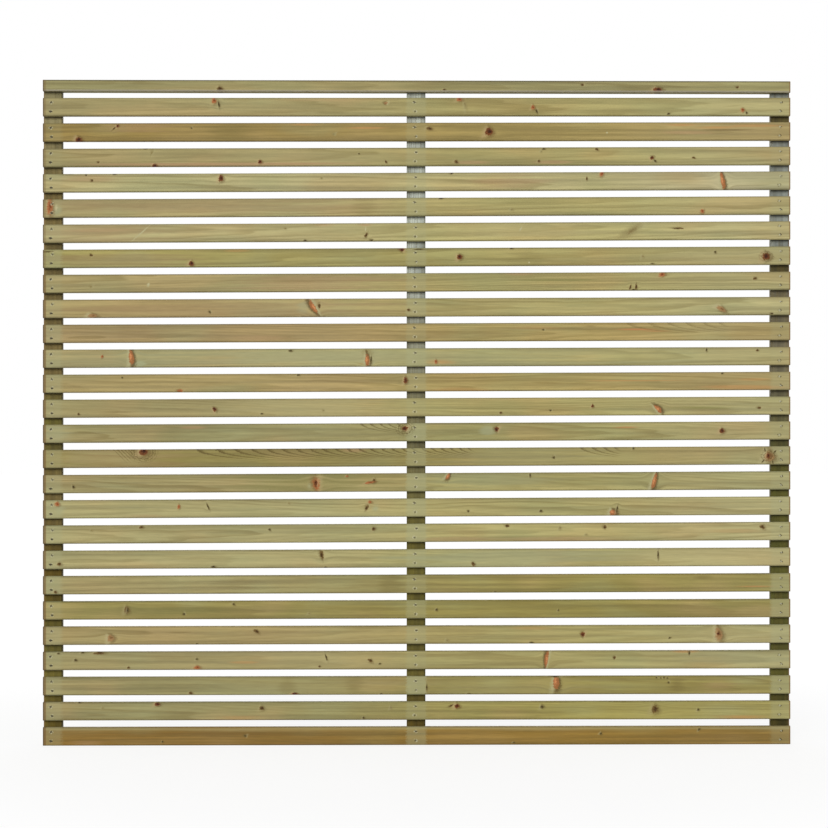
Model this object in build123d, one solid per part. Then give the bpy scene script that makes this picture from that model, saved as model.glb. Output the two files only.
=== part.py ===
from build123d import *
import math
import os

# Slatted timber fence panel, in millimetres. +Z is up, +X runs along the slats and the slatted
# face looks along -Y. The origin is on the ground under the middle of the panel.

PANEL_WIDTH = 1800.0

SLAT_COUNT = 26
SLAT_WIDTH = 44.0
SLAT_THICKNESS = 18.0
SLAT_GAP = 16.5
SLAT_EDGE_CHAMFER = 2.5
# Hand nailing let the slat ends drift off an even spacing: on the right they rise towards the top,
# bulge half-way and waver, and on the left they only waver.
SLAT_RIGHT_LIFT = 4.0
SLAT_RIGHT_BULGE = 7.0
SLAT_RIGHT_WAVE = 1.6
SLAT_LEFT_WAVE = 1.0

BATTEN_WIDTH = 45.0
BATTEN_DEPTH = 25.0
BATTEN_EDGE_CHAMFER = 1.5
# The middle batten and the lines of nails ended up a little left of centre.
MIDDLE_BATTEN_X = -3.0
NAIL_LINE_X = -2.0

RAIL_THICKNESS = 27.0
RAIL_OVERHANG = 1.0
RAIL_EDGE_CHAMFER = 2.5

NAIL_HEAD_WIDTH = 3.2
NAIL_HEAD_TAPER = 2.0
NAIL_SHANK_WIDTH = 1.8
NAIL_SHANK_HEIGHT = 1.6
NAIL_CLEARANCE = 0.03
NAIL_SINK = 0.6
NAIL_UNEVENNESS = 2.5
SLAT_NAIL_LENGTH = 36.0
SLAT_NAIL_SPACING = 21.5
RAIL_NAIL_LENGTH = 60.0
RAIL_NAIL_SPACING = 24.0

SLAT_PITCH = SLAT_WIDTH + SLAT_GAP
BATTEN_HEIGHT = SLAT_COUNT * SLAT_PITCH
RAIL_DEPTH = SLAT_THICKNESS + BATTEN_DEPTH + 2 * RAIL_OVERHANG
FRONT_Y = -(SLAT_THICKNESS + BATTEN_DEPTH) / 2
SEAM_Y = FRONT_Y + SLAT_THICKNESS
SLAT_Y = FRONT_Y + SLAT_THICKNESS / 2
BATTEN_Y = SEAM_Y + BATTEN_DEPTH / 2
RAIL_Z = BATTEN_HEIGHT + RAIL_THICKNESS / 2
SIDE_X = (PANEL_WIDTH - BATTEN_WIDTH) / 2
BATTEN_X = {"left": -SIDE_X, "middle": MIDDLE_BATTEN_X, "right": SIDE_X}


def uneven(seed):
    """A repeatable number from -1 to 1, for the small errors of hand nailing."""
    return 2.0 * (math.sin(12.9898 * seed) * 43758.5453 % 1.0) - 1.0


def slat_height(row, x):
    """Height of a slat's centre line at x. Row 0 is the top slat, and the bottom one is level."""
    level = (SLAT_COUNT - 1 - row) * SLAT_PITCH + SLAT_WIDTH / 2
    part = row / (SLAT_COUNT - 1)
    turn = math.pi * part
    left = -SLAT_LEFT_WAVE * (math.sin(2 * turn) + math.sin(3 * turn))
    right = SLAT_RIGHT_LIFT * (1 - part) + SLAT_RIGHT_BULGE * math.sin(turn)
    right += SLAT_RIGHT_WAVE * math.sin(4 * turn)
    return level + left + (right - left) * (x / PANEL_WIDTH + 0.5)


def bar(length, width, depth, edge):
    """A planed bar along Z with its four long edges eased."""
    section = chamfer(Rectangle(width, depth).vertices(), edge)
    return extrude(section, length / 2, both=True)


def nail(length):
    """A brad driven along +Y, its flat head at the origin and its wide side along X."""
    head = NAIL_HEAD_WIDTH / 2
    shank = NAIL_SHANK_WIDTH / 2
    outline = Polyline(
        (-head, 0),
        (head, 0),
        (shank, NAIL_HEAD_TAPER),
        (shank, length),
        (-shank, length),
        (-shank, NAIL_HEAD_TAPER),
        close=True,
    )
    return extrude(make_face(outline), NAIL_SHANK_HEIGHT / 2, both=True)


def slot(width, start, end):
    """The space a brad fills along +Y from start to end, for a brad of the given width."""
    size = (width + 2 * NAIL_CLEARANCE, end - start, NAIL_SHANK_HEIGHT + 2 * NAIL_CLEARANCE)
    return Pos(0, (start + end) / 2, 0) * Box(*size)


def nail_places(side):
    """Row and place of each slat nail on one batten, as x and z."""
    places = []
    for row in range(SLAT_COUNT):
        for end in (-1, 1):
            seed = 7 * row + 3 * end + BATTEN_X[side]
            x = BATTEN_X[side] + NAIL_LINE_X + NAIL_UNEVENNESS * uneven(seed)
            z = slat_height(row, x) + end * SLAT_NAIL_SPACING / 2
            places.append((row, x, z))
    return places


def slat(row):
    """One slat, sawn off flush at both ends, with its nail slots."""
    rise = slat_height(row, PANEL_WIDTH / 2) - slat_height(row, -PANEL_WIDTH / 2)
    slope = math.degrees(math.atan(rise / PANEL_WIDTH))
    board = bar(PANEL_WIDTH + SLAT_WIDTH, SLAT_WIDTH, SLAT_THICKNESS, SLAT_EDGE_CHAMFER)
    board = Pos(0, SLAT_Y, slat_height(row, 0)) * Rot(0, 90 - slope, 0) * board
    board &= Pos(0, SLAT_Y, BATTEN_HEIGHT / 2) * Box(PANEL_WIDTH, SLAT_THICKNESS, BATTEN_HEIGHT)
    through = slot(NAIL_HEAD_WIDTH, 0, SLAT_THICKNESS)
    return board - [Pos(x, FRONT_Y, z) * through for x, z in slat_nails[row]]


def batten(side):
    """One upright batten with a blind slot for each slat nail and rail nail."""
    post = Pos(BATTEN_X[side], BATTEN_Y, BATTEN_HEIGHT / 2)
    post *= bar(BATTEN_HEIGHT, BATTEN_WIDTH, BATTEN_DEPTH, BATTEN_EDGE_CHAMFER)
    reach = NAIL_SINK + SLAT_NAIL_LENGTH + NAIL_CLEARANCE
    blind = slot(NAIL_SHANK_WIDTH, SLAT_THICKNESS, reach)
    cuts = [Pos(x, FRONT_Y, z) * blind for row, x, z in nail_places(side)]
    reach = NAIL_SINK + RAIL_NAIL_LENGTH + NAIL_CLEARANCE
    blind = slot(NAIL_SHANK_WIDTH, RAIL_THICKNESS, reach)
    return post - cuts - [place * blind for place in rail_places(side)]


def rail_places(side):
    """Where the rail nails of one batten start, on the top of the rail and pointing down."""
    top = RAIL_Z + RAIL_THICKNESS / 2
    across = RAIL_NAIL_SPACING / 2
    return [Pos(BATTEN_X[side] + step, BATTEN_Y, top) * Rot(-90, 0, 0) for step in (-across, across)]


def top_rail():
    """The flat rail over the battens and the top slat, with its nail slots."""
    board = bar(PANEL_WIDTH, RAIL_THICKNESS, RAIL_DEPTH, RAIL_EDGE_CHAMFER)
    board = Pos(0, 0, RAIL_Z) * Rot(0, 90, 0) * board
    through = slot(NAIL_HEAD_WIDTH, 0, RAIL_THICKNESS)
    return board - [place * through for side in BATTEN_X for place in rail_places(side)]


slat_nails = [[] for row in range(SLAT_COUNT)]
for side in BATTEN_X:
    for row, x, z in nail_places(side):
        slat_nails[row].append((x, z))

nodes = {f"slat_{row + 1:02d}": slat(row) for row in range(SLAT_COUNT)}
brad = nail(SLAT_NAIL_LENGTH)
for side in BATTEN_X:
    nodes[f"batten_{side}"] = batten(side)
    driven = [Pos(x, FRONT_Y + NAIL_SINK, z) * brad for row, x, z in nail_places(side)]
    nodes[f"slat_nails_{side}"] = Compound(children=driven)
nodes["top_rail"] = top_rail()
brad = nail(RAIL_NAIL_LENGTH)
driven = [place * Pos(0, NAIL_SINK, 0) * brad for side in BATTEN_X for place in rail_places(side)]
nodes["rail_nails"] = Compound(children=driven)

os.makedirs("parts", exist_ok=True)
for name, node in nodes.items():
    export_step(node, f"parts/{name}.step")
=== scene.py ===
import bpy
import math
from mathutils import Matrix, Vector


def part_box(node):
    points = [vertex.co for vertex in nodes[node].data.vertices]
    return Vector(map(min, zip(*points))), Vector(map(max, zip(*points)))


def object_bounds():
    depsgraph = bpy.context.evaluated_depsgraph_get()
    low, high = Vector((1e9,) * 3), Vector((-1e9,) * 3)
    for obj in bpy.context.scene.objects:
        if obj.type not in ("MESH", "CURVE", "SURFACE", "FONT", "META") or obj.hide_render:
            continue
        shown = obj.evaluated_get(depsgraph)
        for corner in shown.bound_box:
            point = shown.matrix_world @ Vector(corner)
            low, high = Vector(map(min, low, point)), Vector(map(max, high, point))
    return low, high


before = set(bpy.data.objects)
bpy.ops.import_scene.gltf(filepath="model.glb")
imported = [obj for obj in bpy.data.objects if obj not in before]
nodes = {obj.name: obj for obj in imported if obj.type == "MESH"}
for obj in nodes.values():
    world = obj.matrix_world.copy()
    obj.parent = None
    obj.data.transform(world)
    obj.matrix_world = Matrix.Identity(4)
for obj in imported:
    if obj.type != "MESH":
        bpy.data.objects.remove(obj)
cad_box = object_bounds()

# A slatted fence panel of pressure-treated pine, dressed over its CAD nodes. Sizes in the tables
# are millimetres, everything else is metres in the CAD frame: +X along the slats, -Y to the front.

MM = 0.001
# Mesh points this close to a face are taken to lie on it.
ON_FACE = MM / 10
SIDES = ("left", "middle", "right")
PANEL_HALF = cad_box[1].x
# The bottom slat is level, so its box gives the width of a slat.
SLAT_HALF = (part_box("slat_26")[1].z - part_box("slat_26")[0].z) / 2
BATTEN_X = {side: (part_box("batten_" + side)[0].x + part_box("batten_" + side)[1].x) / 2 for side in SIDES}
BATTEN_HALF = (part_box("batten_left")[1].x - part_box("batten_left")[0].x) / 2

# The camera: degrees to the left of straight on, metres from its target, and its lens and sensor in
# millimetres.
CAMERA_TURN = 1.0
CAMERA_DISTANCE = 6.75
CAMERA_LENS = 121.9
CAMERA_SENSOR = 36.0
CAMERA_TARGET = (-0.0084, -0.0215, 0.797)

# The even light all round, then each lamp: its level, its spread in degrees and where it aims.
WORLD_LEVEL = 0.6
LIGHTS = {
    "key": (1.32, 22.0, (0.14, 0.9, -0.36)),
    "back_fill": (0.8, 40.0, (0.0, -1.0, -0.2)),
}
# The floor: how far it reaches, its tone, how much it glows under the panel, the distances between
# which that glow grows to white, and the level that glow and tone add up to where it is seen.
FLOOR_REACH = 30.0
FLOOR_TONE = 0.8
FLOOR_GLOW = 0.8
FLOOR_WHITENS = (0.9, 2.4)
FLOOR_LEVEL = 1.02

# Knots: kind, distance along from the left end, down from the top edge, length, height and, where a
# knot isn't level, its tilt in degrees, counter-clockwise from the front.
KNOTS = {
    "top_rail": [
        ("brown", 424, 21, 13, 10), ("brown", 964, 22, 7, 4), ("brown", 1298, 10, 7, 5),
        ("red", 1479, 21, 20, 10), ("brown", 1672, 15, 7, 5),
    ],
    "slat_01": [
        ("coral", 410, 7, 10, 13, 10), ("dark", 422, 16, 5, 15, 10), ("tan", 824, 13, 9, 6),
        ("coral", 1000, 4, 12, 9), ("faint", 1014, 17, 6, 22, 15), ("coral", 1178, 23, 8, 10),
        ("dark", 1188, 33, 5, 11, 25), ("dark", 1505, 39, 8, 4, 15), ("coral", 1684, 30, 9, 9),
        ("dark", 1694, 37, 5, 6, 30),
    ],
    "slat_02": [
        ("red", 85, 40, 16, 13), ("brown", 171, 12, 3, 12, -50), ("red", 179, 7, 7, 6, 30),
        ("dark", 357, 12, 4, 4), ("faint", 699, 27, 7, 6), ("brown", 928, 14, 14, 7, -10),
        ("red", 1072, 22, 17, 18), ("pale", 1357, 25, 6, 4),
    ],
    "slat_03": [
        ("brown", 133, 33, 6, 4), ("dark", 248, 1, 10, 3), ("faint", 262, 10, 5, 14, -20),
        ("red", 268, 42, 12, 8), ("red", 521, 33, 9, 8), ("dark", 759, 14, 4, 4),
        ("brown", 824, 34, 4, 8, 30), ("brown", 993, 34, 9, 7, -20), ("brown", 1192, 33, 6, 6),
        ("faint", 1198, 10, 5, 5), ("dark", 1204, 4, 8, 4), ("brown", 1332, 5, 8, 5, -20),
        ("red", 1465, 26, 9, 8, 40), ("dark", 1473, 34, 5, 8, 40), ("brown", 1566, 26, 8, 4, -15),
    ],
    "slat_04": [
        ("dark", 104, 3, 5, 4), ("brown", 118, 16, 6, 6), ("dark", 171, 1, 8, 4), ("red", 427, 12, 11, 14),
        ("faint", 670, 12, 5, 5), ("dark", 983, 2, 9, 4, 15), ("brown", 1308, 16, 4, 8),
        ("coral", 1344, 4, 8, 13, -20), ("orange", 1636, 22, 10, 42, 12),
    ],
    "slat_05": [
        ("coral", 16, 18, 13, 34), ("pale", 32, 21, 9, 16), ("dark", 956, 2, 10, 4, 10),
        ("faint", 1127, 29, 7, 6), ("coral", 1587, 35, 9, 9),
    ],
    "slat_06": [
        ("pale", 235, 22, 4, 62, -49), ("faint", 583, 12, 6, 5), ("dark", 629, 41, 8, 4),
        ("pale", 775, 15, 4, 12), ("brown", 776, 29, 6, 12, -30), ("dark", 790, 41, 8, 5),
        ("pale", 1149, 15, 4, 14, -30), ("faint", 1421, 18, 50, 15, 34), ("brown", 1530, 16, 24, 4),
    ],
    "slat_07": [
        ("dark", 13, 5, 26, 3, 3), ("brown", 116, 14, 7, 6, -30), ("red", 356, 35, 11, 11),
        ("red", 863, 4, 11, 9), ("dark", 902, 3, 26, 3), ("red", 1001, 22, 12, 12), ("dark", 1126, 2, 8, 4),
        ("pale", 1169, 36, 5, 4), ("faint", 1443, 23, 6, 8), ("dark", 1466, 40, 10, 3),
        ("dark", 1618, 13, 6, 6), ("red", 1741, 24, 18, 18),
    ],
    "slat_08": [
        ("faint", 116, 29, 7, 6), ("pale", 253, 25, 7, 12, -20), ("brown", 1413, 36, 4, 12, -15),
        ("brown", 1427, 35, 5, 14), ("dark", 1420, 42, 12, 3), ("coral", 1489, 6, 14, 9, 10),
        ("brown", 1714, 16, 8, 6, 20),
    ],
    "slat_09": [
        ("tan", 118, 39, 20, 9), ("dark", 401, 31, 5, 7, 30), ("orange", 649, 20, 11, 34, 34),
        ("brown", 664, 18, 6, 11), ("brown", 878, 28, 7, 6), ("tan", 1632, 28, 22, 10, -28),
        ("dark", 1756, 40, 8, 4),
    ],
    "slat_10": [("dark", 1204, 17, 5, 4)],
    "slat_11": [
        ("coral", 142, 17, 5, 7, -20), ("orange", 212, 19, 12, 34, 5), ("dark", 594, 5, 10, 5),
        ("faint", 776, 8, 18, 14), ("orange", 779, 28, 11, 26, 5), ("dark", 788, 27, 4, 18, -5),
        ("coral", 944, 32, 6, 9), ("dark", 1597, 7, 4, 8), ("brown", 1720, 8, 6, 5),
    ],
    "slat_12": [
        ("dark", 190, 8, 4, 4), ("coral", 330, 40, 12, 6), ("dark", 613, 3, 7, 5), ("red", 871, 17, 9, 14),
        ("dark", 1635, 3, 6, 4),
    ],
    "slat_13": [
        ("brown", 85, 35, 6, 5), ("red", 412, 25, 8, 11, 40), ("dark", 525, 36, 7, 4),
        ("faint", 674, 28, 5, 5), ("brown", 1100, 36, 6, 5), ("dark", 1221, 31, 5, 4),
        ("red", 1322, 21, 6, 7), ("orange", 1480, 28, 10, 23, 45), ("brown", 1725, 27, 9, 5),
    ],
    "slat_14": [("red", 870, 13, 13, 12), ("red", 1091, 16, 10, 11), ("red", 1634, 22, 12, 11)],
    "slat_15": [
        ("red", 241, 5, 20, 18), ("dark", 1229, 24, 6, 6), ("dark", 1420, 3, 5, 6),
        ("tan", 1748, 24, 22, 23), ("red", 1746, 23, 9, 12), ("dark", 1738, 8, 3, 9, 5),
        ("dark", 1762, 13, 3, 9, -45), ("dark", 1734, 35, 3, 9, -40), ("dark", 1757, 38, 3, 7, 20),
    ],
    "slat_16": [
        ("dark", 73, 29, 6, 8, 20), ("coral", 657, 25, 16, 28, 8), ("red", 656, 22, 7, 12),
        ("coral", 730, 6, 6, 4), ("coral", 784, 22, 22, 5, 10), ("brown", 795, 18, 8, 10, -20),
        ("orange", 973, 8, 8, 16, -30), ("dark", 1171, 6, 4, 10), ("orange", 1471, 22, 10, 38, -15),
    ],
    "slat_17": [
        ("coral", 34, 9, 10, 10), ("coral", 326, 17, 6, 10), ("dark", 396, 17, 4, 16, 25),
        ("faint", 590, 10, 6, 5), ("brown", 778, 22, 7, 13, -25), ("coral", 785, 8, 9, 6),
        ("dark", 1023, 31, 6, 5), ("dark", 1197, 32, 7, 6), ("orange", 1371, 36, 16, 13),
        ("dark", 1381, 28, 4, 17, -10),
    ],
    "slat_18": [
        ("faint", 116, 12, 6, 5), ("brown", 236, 5, 10, 6), ("dark", 544, 12, 7, 5, -30),
        ("brown", 794, 12, 9, 8, 30), ("brown", 1117, 6, 10, 6), ("faint", 1243, 12, 6, 8),
        ("faint", 1306, 28, 6, 5), ("brown", 1352, 10, 8, 9, 20), ("brown", 1732, 11, 13, 9, -30),
    ],
    "slat_19": [
        ("brown", 39, 32, 10, 8), ("dark", 409, 40, 12, 5), ("brown", 670, 12, 9, 22, 12),
        ("dark", 678, 42, 7, 3), ("brown", 1034, 36, 7, 11, 30), ("dark", 1480, 16, 4, 20),
    ],
    "slat_20": [("brown", 30, 38, 8, 6), ("dark", 1086, 42, 6, 3)],
    "slat_21": [
        ("brown", 201, 21, 12, 16), ("dark", 203, 22, 5, 9), ("dark", 339, 31, 6, 6),
        ("dark", 458, 8, 8, 5, -30), ("faint", 639, 31, 6, 5), ("dark", 946, 23, 6, 6),
        ("dark", 1239, 25, 4, 5),
    ],
    "slat_22": [
        ("tan", 162, 28, 15, 15), ("dark", 369, 42, 6, 3), ("brown", 512, 12, 14, 7, -30),
        ("faint", 971, 35, 7, 6), ("dark", 1174, 41, 10, 4), ("red", 1299, 22, 9, 11),
        ("dark", 1508, 31, 7, 4, 20), ("tan", 1626, 22, 16, 31, 10), ("red", 1625, 21, 6, 7),
    ],
    "slat_23": [
        ("dark", 37, 4, 7, 4), ("dark", 78, 20, 8, 6), ("dark", 95, 2, 8, 4), ("brown", 134, 3, 23, 6),
        ("brown", 205, 38, 6, 5), ("dark", 369, 18, 6, 5), ("coral", 369, 38, 14, 8),
        ("brown", 664, 36, 6, 4), ("dark", 680, 14, 4, 16, 20), ("brown", 786, 22, 11, 8, -30),
        ("dark", 809, 30, 6, 4), ("orange", 1211, 19, 9, 36, -8), ("brown", 1375, 17, 6, 7),
        ("dark", 1556, 6, 5, 9),
    ],
    "slat_24": [
        ("brown", 354, 39, 9, 6), ("red", 604, 41, 14, 5), ("dark", 812, 42, 8, 3),
        ("dark", 922, 26, 4, 14), ("dark", 1023, 42, 9, 3), ("orange", 1234, 14, 14, 34),
        ("dark", 1234, 1, 20, 4), ("dark", 1477, 4, 4, 4), ("dark", 1486, 5, 4, 3), ("dark", 1494, 4, 5, 4),
        ("dark", 1502, 5, 4, 4), ("dark", 1506, 16, 5, 5),
    ],
    "slat_25": [
        ("dark", 87, 1, 8, 3), ("faint", 143, 14, 6, 5), ("red", 274, 5, 13, 8), ("brown", 525, 15, 11, 10),
        ("dark", 770, 39, 6, 5), ("faint", 835, 15, 6, 8), ("brown", 981, 10, 12, 4, 25),
        ("red", 995, 11, 12, 10), ("dark", 1200, 13, 9, 9), ("brown", 1472, 19, 16, 19),
        ("dark", 1577, 21, 6, 6),
    ],
    "slat_26": [
        ("dark", 287, 35, 5, 4), ("dark", 486, 21, 7, 6), ("dark", 1132, 38, 6, 3),
        ("dark", 1342, 17, 6, 6), ("dark", 1579, 8, 7, 5, 30),
    ],
}

# Soft stains along the grain: tint, where it starts and ends along the slat, down from the top
# edge, height, and how strong it is.
STAINS = {
    "slat_01": [("pink", 400, 900, 5, 12, 0.35), ("olive", 930, 1380, 22, 60, 0.15)],
    "slat_02": [
        ("pink", 130, 320, 10, 40, 0.35), ("olive", 370, 530, 22, 60, 0.55),
        ("orange", 570, 680, 4, 7, 0.7), ("orange", 715, 835, 13, 7, 0.7),
        ("olive", 920, 1400, 22, 60, 0.35), ("orange", 1480, 1590, 7, 10, 0.7),
        ("orange", 1540, 1690, 13, 8, 0.75), ("brown", 1590, 1710, 18, 5, 0.6),
        ("orange", 1640, 1780, 9, 8, 0.6), ("pink", 1480, 1620, 25, 8, 0.5),
    ],
    "slat_03": [
        ("straw", 420, 880, 22, 60, 0.2), ("pink", 120, 880, 38, 11, 0.7), ("pink", 985, 1070, 36, 9, 0.5),
        ("pink", 1185, 1270, 36, 9, 0.5),
    ],
    "slat_04": [("pink", 40, 200, 12, 18, 0.4), ("pink", 1020, 1220, 24, 44, 0.4)],
    "slat_05": [
        ("pink", 50, 900, 22, 60, 0.3), ("teal", 18, 46, 26, 24, 0.5), ("olive", 735, 810, 22, 70, 0.25),
    ],
    "slat_06": [
        ("pink", -60, 330, 22, 60, 0.3), ("pink", 50, 220, 14, 9, 0.4), ("pink", 640, 710, 4, 10, 0.4),
        ("pink", 752, 796, 4, 9, 0.6), ("straw", 950, 1380, 22, 60, 0.35),
    ],
    "slat_07": [
        ("pink", -40, 430, 22, 60, 0.25), ("orange", 430, 500, 4, 9, 0.4),
        ("olive", 1100, 1230, 22, 60, 0.25), ("straw", 1480, 1860, 22, 60, 0.25),
    ],
    "slat_08": [
        ("pink", 420, 880, 26, 50, 0.45), ("brown", 440, 780, 18, 8, 0.4),
        ("moss", 1130, 1340, 18, 10, 0.5), ("pink", 1110, 1180, 3, 8, 0.4),
    ],
    "slat_09": [
        ("pink", -40, 860, 22, 60, 0.3), ("teal", 605, 650, 18, 34, 0.4), ("brown", 650, 672, 20, 20, 0.3),
    ],
    "slat_10": [
        ("pink", 440, 610, 36, 18, 0.35), ("orange", 1100, 1260, 8, 16, 0.3),
        ("coral", 1375, 1490, 17, 6, 0.9), ("coral", 1420, 1530, 21, 5, 0.7),
        ("brown", 1290, 1345, 8, 7, 0.45),
    ],
    "slat_11": [
        ("straw", 400, 880, 22, 60, 0.3), ("teal", -60, 1860, 22, 70, 0.3),
        ("orange", 905, 1000, 33, 12, 0.55), ("teal", 216, 248, 34, 16, 0.6),
        ("orange", 750, 785, 37, 6, 0.5),
    ],
    "slat_12": [
        ("olive", 930, 1380, 18, 50, 0.2), ("orange", 900, 1100, 39, 14, 0.4),
        ("orange", 1290, 1545, 20, 4, 0.7), ("orange", 1660, 1765, 18, 9, 0.5),
        ("orange", 1580, 1795, 37, 12, 0.6),
    ],
    "slat_13": [
        ("brown", 125, 240, 31, 5, 0.45), ("straw", 400, 900, 22, 60, 0.45),
        ("moss", 930, 1380, 22, 60, 0.2), ("brown", 1130, 1290, 30, 5, 0.45),
        ("moss", 1490, 1700, 25, 8, 0.6),
    ],
    "slat_14": [
        ("teal", -20, 80, 22, 70, 0.4), ("pink", 330, 390, 8, 8, 0.45), ("coral", 1365, 1440, 12, 6, 0.6),
        ("teal", 1050, 1088, 18, 30, 0.5),
    ],
    "slat_15": [
        ("pink", -60, 400, 22, 60, 0.3), ("olive", 330, 900, 20, 60, 0.4), ("pink", 715, 780, 4, 14, 0.5),
        ("teal", 920, 1400, 22, 60, 0.2),
    ],
    "slat_16": [
        ("moss", 400, 900, 22, 60, 0.55), ("moss", 900, 1400, 22, 60, 0.2),
        ("teal", 900, 1250, 20, 50, 0.3), ("teal", 630, 652, 28, 24, 0.5),
    ],
    "slat_17": [
        ("teal", 20, 60, 26, 24, 0.4), ("pink", 170, 320, 39, 14, 0.3), ("teal", 784, 814, 24, 26, 0.6),
    ],
    "slat_18": [
        ("pink", 900, 1070, 37, 14, 0.35), ("pink", 1090, 1390, 39, 12, 0.35),
        ("orange", 1570, 1740, 20, 14, 0.3),
    ],
    "slat_19": [("teal", 780, 1420, 22, 60, 0.45), ("straw", 1350, 1950, 22, 70, 0.45)],
    "slat_20": [
        ("brown", 400, 520, 20, 60, 0.25), ("olive", 800, 870, 22, 70, 0.45),
        ("olive", 1060, 1190, 22, 60, 0.2), ("olive", 1555, 1625, 8, 16, 0.5),
        ("coral", 1650, 1785, 31, 5, 0.6),
    ],
    "slat_21": [("moss", -120, 450, 22, 70, 0.35), ("olive", 720, 870, 22, 60, 0.2)],
    "slat_22": [("orange", 1110, 1240, 6, 12, 0.35), ("straw", 1450, 1860, 22, 60, 0.25)],
    "slat_23": [
        ("straw", 400, 880, 22, 60, 0.25), ("orange", 450, 515, 26, 7, 0.45),
        ("orange", 1510, 1580, 3, 7, 0.7), ("teal", 1520, 1840, 22, 50, 0.25),
    ],
    "slat_24": [
        ("straw", 380, 900, 22, 60, 0.15), ("straw", 900, 1420, 22, 60, 0.2),
        ("olive", 560, 615, 22, 70, 0.35), ("olive", 720, 775, 22, 70, 0.35),
        ("olive", 1500, 1552, 24, 64, 0.55), ("pink", 1570, 1690, 20, 24, 0.25),
    ],
    "slat_25": [("orange", 400, 540, 39, 13, 0.4), ("orange", 1570, 1790, 39, 14, 0.7)],
    "slat_26": [("pink", 30, 175, 39, 16, 0.4), ("straw", -300, 2100, 3, 16, 0.4)],
}

# Sweeping dark grain: where it starts and ends along the slat, the spacing of its first lines, how
# far right each line runs as it goes down, how far it trails out at the bottom and how dark it is.
FEATHERS = {
    "slat_10": [(1400, 1660, 55, 0.6, 60, 0.35)],
    "slat_14": [(760, 880, 24, 0.5, 50, 0.65)],
    "slat_15": [
        (168, 236, 9, 1.0, 0, 0.65), (365, 1045, 50, 0.6, 60, 0.8), (1290, 1400, 30, 0.5, 50, 0.65),
    ],
}
FEATHER_TIGHTENING = 0.96
# How deep the lines start to trail and how sharply they curve, the depths at which they end and are
# full, and how soft they are where they start and end along the slat.
TRAIL_DEPTH = 0.02
TRAIL_CURVE = 2.5
FEATHER_DEPTHS = (0.038, 0.016)
FEATHER_START_SOFTNESS = 0.004
FEATHER_END_SOFTNESS = 0.03

# Arcs of bent grain: the knot's distance along and down, and how far the arcs reach.
ARCS = {
    "slat_07": [(1741, 24, 22)],
    "slat_14": [(870, 13, 30)],
    "slat_15": [(241, 6, 44), (1746, 23, 24)],
}


def tone(red, green, blue):
    """A linear colour from screen values of 0 to 255."""
    linear = []
    for value in (red, green, blue):
        part = value / 255
        linear.append(part / 12.92 if part <= 0.04045 else ((part + 0.055) / 1.055) ** 2.4)
    return (*linear, 1.0)


WOOD = {
    "sand": tone(160, 148, 101),
    "sage": tone(167, 158, 110),
    "straw": tone(177, 168, 119),
    "cream": tone(180, 171, 131),
    "tan": tone(168, 150, 100),
    "rose": tone(162, 141, 97),
    "olive": tone(148, 137, 80),
    "lime": tone(158, 148, 88),
    "moss": tone(151, 143, 97),
    "honey": tone(149, 127, 71),
    "russet": tone(143, 115, 56),
    "rust": tone(137, 107, 50),
    "peat": tone(68, 60, 20),
    "soil": tone(96, 78, 22),
    "umber": tone(106, 90, 32),
    "loam": tone(86, 78, 46),
    "fern": tone(90, 88, 38),
    "khaki": tone(110, 102, 46),
    "bark": tone(124, 108, 65),
    "clay": tone(120, 113, 92),
    "drab": tone(136, 130, 94),
    "dun": tone(152, 143, 104),
    "slate": tone(146, 151, 144),
    "stone": tone(158, 158, 138),
    "ash": tone(194, 200, 190),
}

# The tone of each slat at its left and right end, from the top slat down.
SLAT_TONES = [
    ("sand", "sage"), ("honey", "tan"), ("sand", "sage"), ("straw", "cream"), ("sage", "sage"),
    ("straw", "straw"), ("lime", "sage"), ("sand", "sage"), ("tan", "straw"), ("rose", "tan"),
    ("sage", "sage"), ("tan", "tan"), ("sand", "sage"), ("moss", "sage"), ("olive", "sand"),
    ("sand", "sage"), ("sage", "straw"), ("sage", "straw"), ("sage", "straw"), ("sand", "olive"),
    ("olive", "olive"), ("tan", "sage"), ("sand", "sage"), ("moss", "olive"), ("moss", "lime"),
    ("rust", "russet"),
]

# Brown boards have weaker warm and cool patches.
BROWN_TONES = ("honey", "rust")

# The tone of each batten by its height, from the ground up: its own tones with painted light and shade, paler
# near the top and darker towards the ground.
BATTEN_TONES_AND_LIGHT = {
    "left": [
        (0, "umber"), (230, "khaki"), (415, "soil"), (600, "bark"), (780, "khaki"), (900, "bark"),
        (1330, "bark"), (1510, "dun"),
    ],
    "middle": [
        (0, "soil"), (230, "khaki"), (480, "khaki"), (780, "drab"), (960, "stone"), (1140, "ash"),
    ],
    "right": [
        (0, "peat"), (230, "fern"), (640, "fern"), (960, "clay"), (1110, "clay"), (1125, "loam"),
        (1155, "loam"), (1170, "slate"), (1480, "slate"), (1490, "loam"), (1515, "loam"), (1525, "slate"),
    ],
}

TINTS = {
    "pink": tone(178, 144, 104),
    "orange": tone(188, 142, 86),
    "coral": tone(186, 128, 80),
    "olive": tone(122, 108, 58),
    "moss": tone(128, 126, 70),
    "brown": tone(120, 100, 58),
    "teal": tone(164, 168, 130),
    "straw": tone(190, 178, 126),
}

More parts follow.
